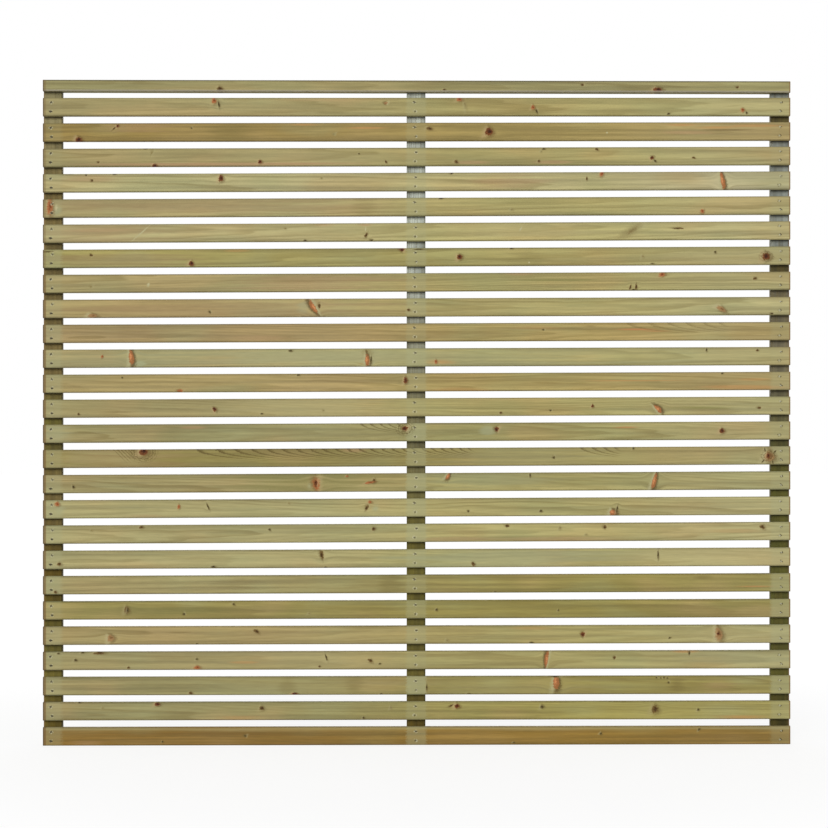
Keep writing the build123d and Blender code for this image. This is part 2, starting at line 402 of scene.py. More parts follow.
# Body, heart, dark side and pale side of each kind of knot, then where its soft edge ends and
# starts in radii, how far round the dark side starts, how far right the heart lies, how strong the
# two sides are and how large the heart is. They are painted in this order.
KNOT_TONES = ("Body", "Heart", "Dark", "Pale")
KNOT_NUMBERS = ("Outer", "Inner", "Start", "Offset", "Sides", "Core")
KNOT_KINDS = {
    "pale": (
        tone(182, 174, 130), tone(188, 180, 138), tone(170, 160, 112), tone(180, 170, 124),
        1.3, 0.4, 0.6, 0.0, 0.0, 0.7,
    ),
    "faint": (
        tone(150, 138, 90), tone(132, 116, 70), tone(140, 126, 80), tone(176, 168, 122),
        1.7, 0.2, 0.2, 0.2, 0.4, 0.7,
    ),
    "brown": (
        tone(108, 84, 42), tone(66, 44, 14), tone(104, 84, 44), tone(174, 160, 112),
        1.3, 0.7, 0.1, 0.2, 0.5, 0.85,
    ),
    "tan": (
        tone(160, 124, 80), tone(122, 88, 50), tone(112, 90, 50), tone(184, 174, 130),
        1.3, 0.7, 0.0, 0.3, 0.75, 0.75,
    ),
    "orange": (
        tone(158, 102, 58), tone(206, 138, 88), tone(92, 72, 34), tone(178, 172, 128),
        1.2, 0.8, -0.2, -0.3, 0.9, 0.75,
    ),
    "coral": (
        tone(170, 104, 60), tone(118, 64, 28), tone(120, 86, 44), tone(176, 158, 110),
        1.4, 0.6, 0.1, 0.2, 0.65, 0.75,
    ),
    "red": (
        tone(118, 68, 32), tone(54, 22, 4), tone(96, 68, 30), tone(184, 158, 114),
        1.2, 0.8, 0.0, 0.1, 0.6, 1.0,
    ),
    "dark": (
        tone(94, 80, 40), tone(48, 36, 14), tone(104, 90, 48), tone(178, 168, 122),
        1.5, 0.4, 0.2, 0.15, 0.45, 0.75,
    ),
}

# Round knots turn by a share of this many degrees, and any knot with a high share is turned about.
ROUND_KNOT_TURN = 90
FLIPPED_ABOVE = 0.25
# A knot at least this long or high, in millimetres, bends the grain round it unless it is flat.
BENDING_KNOT = 12
FLAT_KNOTS = ("pale", "faint")
BEND_ALONG = 0.5
BEND_ACROSS = 1.4
BEND_REACH = (1.8, 0.2)
BEND_PUSH = -0.8

# Waves of noise a metre: along a board, across it and through it.
DRIFT_WAVES = (1.2, 8.0, 8.0)
RIPPLE_WAVES = (6.0, 70.0, 70.0)
STREAK_WAVES = (1.7, 95.0, 95.0)
WARM_WAVES = (5.0, 14.0, 14.0)
PATCH_WAVES = (9.0, 14.0, 14.0)
WOBBLE_WAVES = (240.0, 320.0, 320.0)
FIBRE_WAVES = (28.0, 1300.0, 1300.0)
NAIL_WAVES = (60.0, 60.0, 60.0)
STEEL_WAVES = (900.0, 900.0, 900.0)
# Noise is stretched from these spans to what it changes.
STREAK_SPAN = (0.25, 0.75)
NOISE_SPAN = (0.2, 0.8)
WARM_SPAN = (0.5, 0.72)
COOL_SPAN = (0.5, 0.28)
# How far edges of knots and marks wobble, from the least to the most.
WOBBLE_REACH = 1.4

# Growth rings: how each board's noise is moved, how far noise pushes the rings, and the limits of
# their lean along the board, of the pith's place behind it and of their spacing.
SEED_SHIFT = (7.3, 3.1, 5.7)
DRIFT_PUSH = 0.05
RIPPLE_PUSH = 0.004
RING_LEAN = (0.004, 0.01)
PITH_ACROSS = (-0.02, 0.02)
PITH_THROUGH = (0.012, 0.062)
RING_SPACING = (0.0022, 0.0038)
RAIL_SEED = 41
BATTEN_SEED = 51

# The timber's tones, how strong latewood and patches are, and how dark and light noise makes it.
WARM_TONE = tone(178, 153, 104)
COOL_TONE = tone(158, 158, 112)
SLAT_PATCHES = 0.42
BROWN_PATCHES = 0.2
RAIL_PATCHES = 0.25
LATEWOOD = tone(112, 95, 46)
LATEWOOD_AMOUNT = 0.4
SLAT_STREAKS = (0.77, 1.23)
BATTEN_STREAKS = (0.78, 1.2)
BATTEN_PATCHES = (0.74, 1.26)
FIBRE_SHADES = (0.9, 1.1)
TIMBER_SPECULAR = 0.25
TIMBER_ROUGHNESS = (0.68, 0.84)
TIMBER_BUMP = {"Strength": 0.35, "Distance": 0.0006}
FEATHER = tone(94, 78, 36)
# How much arcs of bent grain are flattened, and how many lie in a metre.
ARC_SQUASH = 1.3
ARC_LINES = 160.0

# A slat's left tone turns into its right one between two places along it. It is less blue round
# another, where the tint starts and is full at two distances.
TONE_TURN = (0.2, 1.6)
MIDDLE_TINT = (1.0, 0.99, 0.87, 1.0)
MIDDLE_TINT_ALONG = 1.15
MIDDLE_TINT_REACH = (0.55, 0.15)

# Painted shade along long edges: how wide it is, and how bright the upper and the lower edge are painted.
SHADED_EDGE_WIDTH = 0.005
SLAT_EDGE_SHADING = (0.72, 0.76)
RAIL_EDGE_SHADING = (0.3, 1.0)
# How bright the painted shade on a batten's right edge is.
BATTEN_RIGHT_SHADING = 0.5

# Bands along an edge or a face: how far inward each starts, how far inward it is full, and how
# strong it is.
# A painted light along the rail's lower edge, and the rail's front face, which alone takes it and the painted
# edge shade.
RAIL_LOW_LIGHT_BAND = (0.005, 0.001, 0.8)
RAIL_FRONT_BAND = (0.006, 0.001, 1.0)
OUTER_RIM_BAND = (0.004, 0.001, 0.7)
# The painted shadow line under each board on a batten, and the front part of the batten it is painted on.
PAINTED_SHADOW_BAND = (0.005, 0.001, 0.7)
PAINTED_SHADOW_FRONT_BAND = (0.008, 0.002, 1.0)
INSIDE_BAND = (0.0001, 0.0006, 1.0)
OFF_BACK_BAND = (0.004, 0.012, 1.0)
SAWN_BAND = (0.004, 0.001, 0.8)
RIGHT_END_BAND = (0.004, 0.002, 0.7)
# The stain at the left end, which is weaker on the upper slats and on the rail.
UPPER_SLATS = 7
UPPER_LEFT_BAND = (0.0085, 0.0065, 0.35)
LOWER_LEFT_BAND = (0.0085, 0.0065, 0.7)
RAIL_LEFT_BAND = (0.0085, 0.0065, 0.4)
LEFT_END_STAIN = tone(116, 86, 46)
SAWN_EDGE = tone(84, 64, 34)
RIGHT_END_STAIN = tone(126, 92, 48)
# The tone of the painted shadow under each board.
PAINTED_SHADOW = tone(34, 28, 14)
OUTER_RIM = tone(128, 92, 50)
# The tone of the painted light along the rail's lower edge.
RAIL_LOW_EDGE_LIGHT = tone(178, 170, 152)

OVER_BATTEN = tone(166, 166, 124)
# How much paler a slat is over each batten, on the top and on the bottom slat.
OVER_BATTEN_AMOUNT = {"left": (0.3, 0.4), "middle": (0.35, 0.6), "right": (0.1, 0.45)}
# The least and most that this varies from slat to slat, and how ragged the patches are.
OVER_BATTEN_VARIES = (0.4, 1.3)
OVER_BATTEN_RAGGED = 0.008
# How far a patch reaches past the edge of the batten, and how soft its own edge is.
OVER_BATTEN_MARGIN = {"left": 0.0, "middle": 0.001, "right": 0.002}
OVER_BATTEN_SOFTNESS = {"left": 0.007, "middle": 0.004, "right": 0.006}
NAIL_STAIN_AND_SHADE = tone(56, 48, 26)
NAIL_GLINT = tone(192, 188, 152)
# The tone and radius of the spot round a nail, then those of the specks round the spot. The dark tone is a
# stain with the painted shade of the sunk head, the pale one a painted glint.
NAIL_MARKS = {
    "left": (NAIL_STAIN_AND_SHADE, 0.0042, NAIL_GLINT, 0.0062),
    "middle": (NAIL_STAIN_AND_SHADE, 0.0042, NAIL_GLINT, 0.0062),
    "right": (NAIL_GLINT, 0.0028, NAIL_STAIN_AND_SHADE, 0.0058),
}
# How marks are stretched along and across the slat, and how ragged they are.
NAIL_STRETCH = (0.9, 1.1)
NAIL_RAGGED = 0.003
# The part of a spot's and of its specks' radius at which they are full.
SPOT_CORE = 0.43
SPECK_CORE = 0.7
# Points of nail heads that are closer in height than this belong to one nail.
NAIL_SPAN = 0.005
DARK_STEEL = (tone(40, 33, 18), tone(70, 60, 38))
PALE_STEEL = (tone(120, 118, 104), tone(184, 182, 168))
STEEL_METALLIC = 0.1
STEEL_ROUGHNESS = (0.4, 0.65)
STEEL_BUMP = {"Strength": 0.2, "Distance": 0.0002}


class Graph:
    """Short calls for building one node tree."""

    def __init__(self, tree):
        self.tree = tree
        tree.nodes.clear()

    def node(self, kind, values=(), **settings):
        """Adds a node, and fills or links its inputs by name or number."""
        node = self.tree.nodes.new("ShaderNode" + kind)
        for name, value in settings.items():
            setattr(node, name, value)
        for key, value in dict(values).items():
            self.put(node.inputs[key], value)
        return node

    def add(self, kind, values=(), output=0, **settings):
        """Adds a node and gives one of its outputs."""
        return self.node(kind, values, **settings).outputs[output]

    def put(self, socket, value):
        """Links a value that comes from another node, and otherwise sets it."""
        if isinstance(value, bpy.types.NodeSocket):
            self.tree.links.new(value, socket)
        else:
            socket.default_value = value

    def use(self, group, values):
        """Adds a node group and gives all its outputs."""
        return self.node("Group", values, node_tree=group).outputs

    def math(self, operation, *terms):
        return self.add("Math", enumerate(terms), operation=operation)

    def times(self, first, second):
        return self.math("MULTIPLY", first, second)

    def minus(self, first, second):
        return self.math("SUBTRACT", first, second)

    def vector(self, operation, *terms, output=0):
        return self.add("VectorMath", enumerate(terms), output, operation=operation)

    def length(self, vector):
        return self.vector("LENGTH", vector, output="Value")

    def scale(self, vector, factor):
        return self.add("VectorMath", {0: vector, "Scale": factor}, operation="SCALE")

    def fade(self, value, start, end, low=0.0, high=1.0):
        """A smooth step of value, from low at start to high at end."""
        limits = {0: value, 1: start, 2: end, 3: low, 4: high}
        return self.add("MapRange", limits, interpolation_type="SMOOTHSTEP")

    def band(self, value, edge, inward, limits):
        """A band along an edge, with inward 1 where the value grows away from the edge, and else -1."""
        start, full, amount = limits
        return self.fade(value, edge + inward * start, edge + inward * full, 0.0, amount)

    def shade(self, colour, noise, limits):
        """The colour made darker and lighter by noise."""
        return self.mix(1.0, colour, self.fade(noise, *STREAK_SPAN, *limits), "MULTIPLY")

    def mix(self, factor, first, second, blend="MIX"):
        return self.add("Mix", {0: factor, 6: first, 7: second}, 2, data_type="RGBA", blend_type=blend)

    def choose(self, factor, first, second):
        """The second vector where factor is one, and the first where it is zero."""
        return self.add("Mix", {0: factor, 4: first, 5: second}, 1, data_type="VECTOR")

    def noise(self, place, stretch, detail=0.0):
        """Noise from 0 to 1 with so many waves a metre along each axis."""
        spread = self.vector("MULTIPLY", place, stretch)
        return self.add("TexNoise", {"Vector": spread, "Scale": 1.0, "Detail": detail})

    def split(self, vector):
        return self.node("SeparateXYZ", {0: vector}).outputs


def new_group(name, inputs, outputs):
    """An empty node group: its graph, the sockets it is given and the sockets it has to fill."""
    tree = bpy.data.node_groups.new(name, "ShaderNodeTree")
    graph = Graph(tree)
    for direction, sockets in (("INPUT", inputs), ("OUTPUT", outputs)):
        for label, kind in sockets.items():
            tree.interface.new_socket(label, in_out=direction, socket_type="NodeSocket" + kind)
    given = tree.nodes.new("NodeGroupInput").outputs
    made = tree.nodes.new("NodeGroupOutput").inputs
    return graph, given, made


def grain_group():
    """Growth rings cut by the board's faces, with long streaks and warm patches."""
    inputs = {"Place": "Vector", "Seed": "Float", "Pith": "Vector", "Spacing": "Float"}
    outputs = {"Late": "Float", "Streak": "Float", "Warm": "Float"}
    graph, given, made = new_group("grain", inputs, outputs)
    place = graph.vector("ADD", given["Place"], graph.scale(SEED_SHIFT, given["Seed"]))
    drift = graph.noise(place, DRIFT_WAVES)
    ripple = graph.noise(place, RIPPLE_WAVES, 1.0)
    along, across, through = graph.split(given["Place"])
    taper, pith_across, pith_through = graph.split(given["Pith"])
    wander = graph.math("MULTIPLY_ADD", drift, DRIFT_PUSH, -DRIFT_PUSH / 2)
    lean = graph.times(along, taper)
    across = graph.minus(graph.minus(across, pith_across), wander)
    through = graph.minus(graph.minus(through, pith_through), lean)
    radius = graph.length(graph.add("CombineXYZ", {0: across, 1: through}))
    radius = graph.math("MULTIPLY_ADD", ripple, RIPPLE_PUSH, radius)
    ring = graph.math("DIVIDE", radius, given["Spacing"])
    part = graph.math("FRACT", ring)
    year = graph.math("ADD", graph.math("FLOOR", ring), given["Seed"])
    weight = graph.add("TexWhiteNoise", {"W": year}, noise_dimensions="1D")
    # A ring darkens slowly and ends sharply, and some years are darker than others.
    late = graph.times(graph.fade(part, 0.3, 0.85), graph.fade(part, 1.0, 0.9))
    late = graph.times(late, graph.math("MULTIPLY_ADD", weight, 0.7, 0.3))
    graph.put(made["Late"], late)
    graph.put(made["Streak"], graph.noise(place, STREAK_WAVES, 3.0))
    graph.put(made["Warm"], graph.noise(place, WARM_WAVES, 1.0))
    return graph.tree


def knot_group():
    """Paints one kind of knot: a pale and a dark crescent, a soft bent body and a heart off its middle."""
    inputs = {"Colour": "Color", "Spot": "Vector", "Wobble": "Float"}
    inputs |= {name: "Color" for name in KNOT_TONES}
    inputs |= {name: "Float" for name in KNOT_NUMBERS}
    graph, given, made = new_group("knot", inputs, {"Colour": "Color"})
    wobble = graph.times(given["Wobble"], 0.6)
    x, y, _ = graph.split(given["Spot"])
    # The knot is bent a little, so that it is no plain ellipse.
    side = graph.math("MULTIPLY_ADD", graph.times(x, y), 0.2, graph.minus(x, 0.06))
    side = graph.math("MULTIPLY_ADD", graph.times(y, y), 0.18, side)
    spot = graph.add("CombineXYZ", {0: side, 1: y})
    radius = graph.math("ADD", graph.length(spot), wobble)
    near = graph.fade(radius, 2.4, 1.0, 0.0, given["Sides"])
    pale = graph.times(graph.fade(side, 0.3, -0.9), near)
    colour = graph.mix(pale, given["Colour"], given["Pale"])
    facing = graph.fade(graph.minus(side, given["Start"]), -0.5, 0.6)
    colour = graph.mix(graph.times(facing, near), colour, given["Dark"])
    colour = graph.mix(graph.fade(radius, given["Outer"], given["Inner"]), colour, given["Body"])
    middle = graph.add("CombineXYZ", {0: given["Offset"], 1: 0.1})
    off = graph.math("ADD", graph.vector("DISTANCE", spot, middle, output="Value"), wobble)
    graph.put(made["Colour"], graph.mix(graph.fade(off, given["Core"], 0.1), colour, given["Heart"]))
    return graph.tree


def stain_group():
    """Tints a soft patch whose edges break up along the grain."""
    inputs = {"Colour": "Color", "Spot": "Vector", "Streak": "Float", "Tint": "Color", "Amount": "Float"}
    graph, given, made = new_group("stain", inputs, {"Colour": "Color"})
    radius = graph.length(given["Spot"])
    broken = graph.math("ADD", radius, graph.fade(given["Streak"], 0.3, 0.7, -0.35, 0.35))
    amount = graph.times(graph.fade(broken, 1.1, 0.25), given["Amount"])
    graph.put(made["Colour"], graph.mix(amount, given["Colour"], given["Tint"]))
    return graph.tree


def uneven(seed):
    """A repeatable number from 0 to 1."""
    return math.sin(78.233 * seed) * 43758.5453 % 1.0


def between(limits, seed):
    """A repeatable number between two limits."""
    low, high = limits
    return low + (high - low) * uneven(seed)


def end_heights(board):
    """Heights of a slat's centre line at its left and right end, read from its mesh."""
    points = [corner.co for corner in board.data.vertices]
    heights = []
    for side in (-1, 1):
        ends = [point.z for point in points if side * point.x > PANEL_HALF - ON_FACE]
        heights.append((min(ends) + max(ends)) / 2)
    return heights


def height_at(ends, x):
    """Height of a slat's centre line at x, from its heights at the two ends."""
    left, right = ends
    return left + (right - left) * (x / (2 * PANEL_HALF) + 0.5)


def nail_heads(node):
    """Centres of the nail heads in one slat nail node, as x and z."""
    heads = []
    points = [corner.co for corner in node.data.vertices]
    front = min(point.y for point in points) + ON_FACE
    points = sorted((point for point in points if point.y < front), key=lambda point: point.z)
    nail = [points[0]]
    for point in points[1:] + [None]:
        if point is not None and point.z - nail[-1].z < NAIL_SPAN:
            nail.append(point)
            continue
        heads.append(tuple(sum(corner[axis] for corner in nail) / len(nail) for axis in (0, 2)))
        nail = [point]
    return heads


def slat_place(graph, board):
    """Distance along a slat from its left end, up from its centre line and back from the origin."""
    left, right = end_heights(board)
    x, y, z = graph.split(graph.add("TexCoord", output="Object"))
    slope = (right - left) / (2 * PANEL_HALF)
    centre = graph.math("MULTIPLY_ADD", x, slope, (left + right) / 2)
    along = graph.math("ADD", x, PANEL_HALF)
    return graph.add("CombineXYZ", {0: along, 1: graph.minus(z, centre), 2: y})


def batten_place(graph, centre):
    """Distance up a batten, right from its centre line and back from the origin."""
    x, y, z = graph.split(graph.add("TexCoord", output="Object"))
    return graph.add("CombineXYZ", {0: z, 1: graph.minus(x, centre), 2: y})


def edge_wobble(graph, place):
    """Small waves that keep the edges of knots and marks from being smooth, about -0.3 to 0.3."""
    return graph.math("MULTIPLY_ADD", graph.noise(place, WOBBLE_WAVES), WOBBLE_REACH, -WOBBLE_REACH / 2)


def bend_grain(graph, bent, place, spot, length, height):
    """Pushes the grain apart round one knot."""
    offset = graph.vector("SUBTRACT", place, spot)
    reach = graph.length(graph.vector("MULTIPLY", offset, (BEND_ALONG / length, BEND_ACROSS / height, 0.0)))
    push = graph.fade(reach, *BEND_REACH, 0.0, BEND_PUSH)
    return graph.vector("ADD", bent, graph.scale(graph.vector("MULTIPLY", offset, (0.0, 1.0, 0.0)), push))


def lay_knots(graph, place, knots, top):
    """The place with the grain bent round the knots, and the place in the nearest knot of each kind."""
    bent = place
    nearest = {}
    for kind, along, down, length, height, *tilt in knots:
        spot = (along * MM, top - down * MM, 0.0)
        swing = uneven(along + down) - 0.5
        turn = sum(tilt) + (ROUND_KNOT_TURN * swing if length == height else 0)
        turn += 180 if swing > FLIPPED_ABOVE else 0
        settings = {"Location": spot, "Rotation": (0.0, 0.0, math.radians(turn))}
        settings["Scale"] = (length * MM / 2, height * MM / 2, 1.0)
        local = graph.add("Mapping", {"Vector": place} | settings, vector_type="TEXTURE")
        away = graph.length(local)
        if kind in nearest:
            known, other = nearest[kind]
            local = graph.choose(graph.math("LESS_THAN", away, known), other, local)
            away = graph.math("MINIMUM", away, known)
        nearest[kind] = (away, local)
        if max(length, height) >= BENDING_KNOT and kind not in FLAT_KNOTS:
            bent = bend_grain(graph, bent, place, spot, length * MM, height * MM)
    return bent, {kind: local for kind, (_, local) in nearest.items()}


def grained_colour(graph, colour, rings, patches):
    """A base colour with warm and cool patches, streaks and latewood lines."""
    colour = graph.mix(graph.fade(rings["Warm"], *WARM_SPAN, 0.0, patches), colour, WARM_TONE)
    colour = graph.mix(graph.fade(rings["Warm"], *COOL_SPAN, 0.0, patches), colour, COOL_TONE)
    colour = graph.shade(colour, rings["Streak"], SLAT_STREAKS)
    return graph.mix(graph.times(rings["Late"], LATEWOOD_AMOUNT), colour, LATEWOOD)


def finish_timber(graph, colour, place, streak):
    """The timber's shader: its colour with fine fibre, its roughness and its bump."""
    fibre = graph.noise(place, FIBRE_WAVES, 1.0)
    colour = graph.mix(1.0, colour, graph.fade(fibre, *NOISE_SPAN, *FIBRE_SHADES), "MULTIPLY")
    bump = graph.add("Bump", TIMBER_BUMP | {"Height": fibre})
    values = {"Base Color": colour, "Normal": bump, "Specular IOR Level": TIMBER_SPECULAR}
    values["Roughness"] = graph.fade(streak, *NOISE_SPAN, *TIMBER_ROUGHNESS)
    graph.node("OutputMaterial", {"Surface": graph.add("BsdfPrincipled", values)})


def new_material(board, name):
    """Gives every material slot of a CAD node one new material, and returns its graph."""
    material = bpy.data.materials.new(name)
    material.use_nodes = True
    for slot in board.material_slots:
        slot.material = material
    return Graph(material.node_tree)


def wood_rings(graph, place, seed):
    """The grain of one board, with its own pith line and ring spacing."""
    lean = between(RING_LEAN, seed + 0.3)
    pith = (lean, between(PITH_ACROSS, seed + 0.5), between(PITH_THROUGH, seed + 0.7))
    spacing = between(RING_SPACING, seed + 0.9)
    return graph.use(groups["grain"], {"Place": place, "Seed": float(seed), "Pith": pith, "Spacing": spacing})


def paint_knots(graph, colour, nearest, wobble):
    """Lays each kind of knot over the colour."""
    for kind, settings in KNOT_KINDS.items():
        if kind in nearest:
            values = {"Colour": colour, "Spot": nearest[kind], "Wobble": wobble}
            values |= dict(zip(KNOT_TONES + KNOT_NUMBERS, settings))
            colour = graph.use(groups["knot"], values)["Colour"]
    return colour


def feather(graph, colour, place, wobble, start, end, spacing, lean, trail, strength):
    """Dark lines that drop from the top edge, run out along the grain and stand closer to the right."""
    along, across, _ = graph.split(place)
    depth = graph.minus(SLAT_HALF, across)
    trailing = graph.times(graph.math("POWER", graph.math("DIVIDE", depth, TRAIL_DEPTH), TRAIL_CURVE), trail)
    run = graph.minus(along, graph.math("MULTIPLY_ADD", depth, lean, trailing))
    run = graph.minus(run, start)
    count = graph.math("MULTIPLY_ADD", graph.times(run, run), 1.0 / FEATHER_TIGHTENING, run)
    count = graph.math("MULTIPLY_ADD", wobble, 0.2, graph.math("DIVIDE", count, spacing))
    lines = graph.math("FRACT", count)
    dark = graph.times(graph.fade(lines, 0.0, 0.08), graph.fade(lines, 0.5, 0.1))
    dark = graph.times(dark, graph.fade(depth, *FEATHER_DEPTHS, 0.0, strength))
    dark = graph.times(dark, graph.fade(run, -FEATHER_START_SOFTNESS, FEATHER_START_SOFTNESS))
    dark = graph.times(dark, graph.fade(along, end, end - FEATHER_END_SOFTNESS))
    return graph.mix(dark, colour, FEATHER)


def arcs(graph, colour, place, wobble, spot, reach):
    """Thin dark arcs of bent grain round one knot."""
    flat = graph.vector("MULTIPLY", place, (1.0, ARC_SQUASH, 0.0))
    away = graph.vector("DISTANCE", flat, spot, output="Value")
    lines = graph.math("FRACT", graph.math("MULTIPLY_ADD", away, ARC_LINES, wobble))
    dark = graph.times(graph.fade(lines, 0.2, 0.6), graph.fade(lines, 1.0, 0.7))
    dark = graph.times(dark, graph.fade(away, reach, 0.5 * reach, 0.0, 0.7))
    dark = graph.times(dark, graph.fade(away, 0.3 * reach, 0.45 * reach))
    return graph.mix(dark, colour, FEATHER)


def stain(graph, colour, place, streak, stains, top):
    """Lays the stains of one board over its colour."""
    for tint, start, end, down, height, amount in stains:
        settings = {"Location": ((start + end) / 2 * MM, top - down * MM, 0.0)}
        settings["Scale"] = ((end - start) / 2 * MM, height / 2 * MM, 1.0)
        spot = graph.add("Mapping", {"Vector": place} | settings, vector_type="TEXTURE")
        values = {"Colour": colour, "Spot": spot, "Streak": streak}
        values |= {"Tint": TINTS[tint], "Amount": amount}
        colour = graph.use(groups["stain"], values)["Colour"]
    return colour


def bleach_over_battens(graph, colour, along, wobble, row):
    """Paler patches with ragged edges where a slat lies over the battens."""
    part = row / (len(SLAT_TONES) - 1)
    for number, side in enumerate(SIDES):
        away = graph.math("ABSOLUTE", graph.minus(along, BATTEN_X[side] + PANEL_HALF))
        away = graph.math("MULTIPLY_ADD", wobble, OVER_BATTEN_RAGGED, away)
        edge = BATTEN_HALF + OVER_BATTEN_MARGIN[side]
        top, bottom = OVER_BATTEN_AMOUNT[side]
        amount = (top + (bottom - top) * part) * between(OVER_BATTEN_VARIES, row + 40 * number)
        soft = OVER_BATTEN_SOFTNESS[side]
        pale = graph.fade(away, edge + soft, edge - soft, 0.0, amount)
        colour = graph.mix(pale, colour, OVER_BATTEN)
    return colour


def mark_nails(graph, colour, place, wobble, board, heads, marks):
    """Spots of one tone in a ring of specks of the other where nails went into one slat: a dark stain with
    painted shade, and pale painted glints.
    """
    ends = end_heights(board)
    near = 1.0
    wide, high = NAIL_STRETCH
    flat = graph.vector("MULTIPLY", place, (wide, high, 0.0))
    for x, z in heads:
        across = z - height_at(ends, x)
        if abs(across) < SLAT_HALF:
            spot = (wide * (x + PANEL_HALF), high * across, 0.0)
            near = graph.math("MINIMUM", graph.vector("DISTANCE", flat, spot, output="Value"), near)
    near = graph.math("MULTIPLY_ADD", wobble, NAIL_RAGGED, near)
    spot_tone, spot_radius, speck_tone, speck_radius = marks
    specks = graph.fade(wobble, -0.05, 0.2, 0.0, 0.9)
    ring = graph.times(graph.fade(near, speck_radius, SPECK_CORE * speck_radius), specks)
    colour = graph.mix(ring, colour, speck_tone)
    strength = graph.fade(graph.noise(place, NAIL_WAVES), 0.35, 0.6, 0.35, 1.0)
    spot = graph.fade(near, spot_radius, SPOT_CORE * spot_radius, 0.0, strength)
    return graph.mix(spot, colour, spot_tone)


def dress_slat(board, row, heads):
    """Timber for one slat: its tones, grain, stains, knots, nail marks with painted shade and glints, dark
    ends and painted edge shade.
    """
    graph = new_material(board, board.name + "_timber")
    place = slat_place(graph, board)
    wobble = edge_wobble(graph, place)
    bent, nearest = lay_knots(graph, place, KNOTS.get(board.name, []), SLAT_HALF)
    rings = wood_rings(graph, bent, row + 1)
    along, across, _ = graph.split(place)
    left, right = SLAT_TONES[row]
    colour = graph.mix(graph.fade(along, *TONE_TURN), WOOD[left], WOOD[right])
    colour = grained_colour(graph, colour, rings, BROWN_PATCHES if left in BROWN_TONES else SLAT_PATCHES)
    middle = graph.math("ABSOLUTE", graph.minus(along, MIDDLE_TINT_ALONG))
    colour = graph.mix(graph.fade(middle, *MIDDLE_TINT_REACH), colour, MIDDLE_TINT, "MULTIPLY")
    colour = stain(graph, colour, place, rings["Streak"], STAINS.get(board.name, []), SLAT_HALF)
    for start, end, spacing, lean, trail, strength in FEATHERS.get(board.name, []):
        sizes = (start * MM, end * MM, spacing * MM, lean, trail * MM, strength)
        colour = feather(graph, colour, place, wobble, *sizes)
    # Painted shade along the slat's top and bottom edges.
    colour = paint_edge_shading(graph, colour, across, SLAT_HALF, *SLAT_EDGE_SHADING)
    colour = bleach_over_battens(graph, colour, along, wobble, row)
    colour = paint_knots(graph, colour, nearest, wobble)
    for far, down, reach in ARCS.get(board.name, []):
        spot = (far * MM, ARC_SQUASH * (SLAT_HALF - down * MM), 0.0)
        colour = arcs(graph, colour, place, wobble, spot, reach * MM)
    for side in SIDES:
        colour = mark_nails(graph, colour, place, wobble, board, heads[side], NAIL_MARKS[side])
    colour = darken_ends(graph, colour, along, UPPER_LEFT_BAND if row < UPPER_SLATS else LOWER_LEFT_BAND)
    finish_timber(graph, colour, place, rings["Streak"])


def paint_edge_shading(graph, colour, across, half, top, bottom):
    """Painted shade along the long edges: another brightness, as a part of the board's own."""
    upper = graph.fade(across, half - SHADED_EDGE_WIDTH, half, 1.0, top)
    lower = graph.fade(across, SHADED_EDGE_WIDTH - half, -half, 1.0, bottom)
    return graph.mix(1.0, colour, graph.times(upper, lower), "MULTIPLY")


def darken_ends(graph, colour, along, left_band):
    """Brown stains where a slat or the rail was sawn off, wider at the left end."""
    colour = graph.mix(graph.band(along, 0.0, 1, left_band), colour, LEFT_END_STAIN)
    colour = graph.mix(graph.band(along, 0.0, 1, SAWN_BAND), colour, SAWN_EDGE)
    return graph.mix(graph.band(along, 2 * PANEL_HALF, -1, RIGHT_END_BAND), colour, RIGHT_END_STAIN)


def dress_rail(board):
    """Timber for the flat top rail."""
    graph = new_material(board, board.name + "_timber")
    x, y, z = graph.split(graph.add("TexCoord", output="Object"))
    low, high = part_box(board.name)
    along = graph.math("ADD", x, PANEL_HALF)
    half = (high.z - low.z) / 2
    across = graph.minus(z, low.z + half)
    place = graph.add("CombineXYZ", {0: along, 1: across, 2: y})
    wobble = edge_wobble(graph, place)
    bent, nearest = lay_knots(graph, place, KNOTS["top_rail"], half)
    rings = wood_rings(graph, bent, RAIL_SEED)
    colour = grained_colour(graph, WOOD["moss"], rings, RAIL_PATCHES)
    colour = paint_knots(graph, colour, nearest, wobble)
    # The rail's front: painted shade on its top edge and painted light along its lower edge.
    rail_edge_light_shade = paint_edge_shading(graph, colour, across, half, *RAIL_EDGE_SHADING)
    rail_edge_light_shade = graph.mix(graph.band(across, -half, 1, RAIL_LOW_LIGHT_BAND), rail_edge_light_shade, RAIL_LOW_EDGE_LIGHT)
    colour = graph.mix(graph.band(y, low.y, 1, RAIL_FRONT_BAND), colour, rail_edge_light_shade)
    colour = darken_ends(graph, colour, along, RAIL_LEFT_BAND)
    finish_timber(graph, colour, place, rings["Streak"])


def paint_shadow_line(graph, colour, along, lows):
    """A painted shadow: a dark line on a batten under each board that crosses it."""
    near = 1.0
    for low in lows:
        below = graph.math("ABSOLUTE", graph.minus(along, low))
        near = graph.math("MINIMUM", below, near)
    return graph.mix(graph.band(near, 0.0, 1, PAINTED_SHADOW_BAND), colour, PAINTED_SHADOW)


def low_edges(x):
    """Heights of the lower edges of the rail and the slats where they cross a batten at x."""
    lows = [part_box("top_rail")[0].z]
    for row in range(len(SLAT_TONES)):
        lows.append(height_at(end_heights(nodes[f"slat_{row + 1:02d}"]), x) - SLAT_HALF)
    return lows


def weathered(graph, colour, patch, rings):
    """A batten's colour with soft patches, streaks and latewood lines."""
    colour = graph.shade(colour, patch, BATTEN_PATCHES)
    colour = graph.shade(colour, rings["Streak"], BATTEN_STREAKS)
    return graph.mix(graph.times(rings["Late"], LATEWOOD_AMOUNT), colour, LATEWOOD)


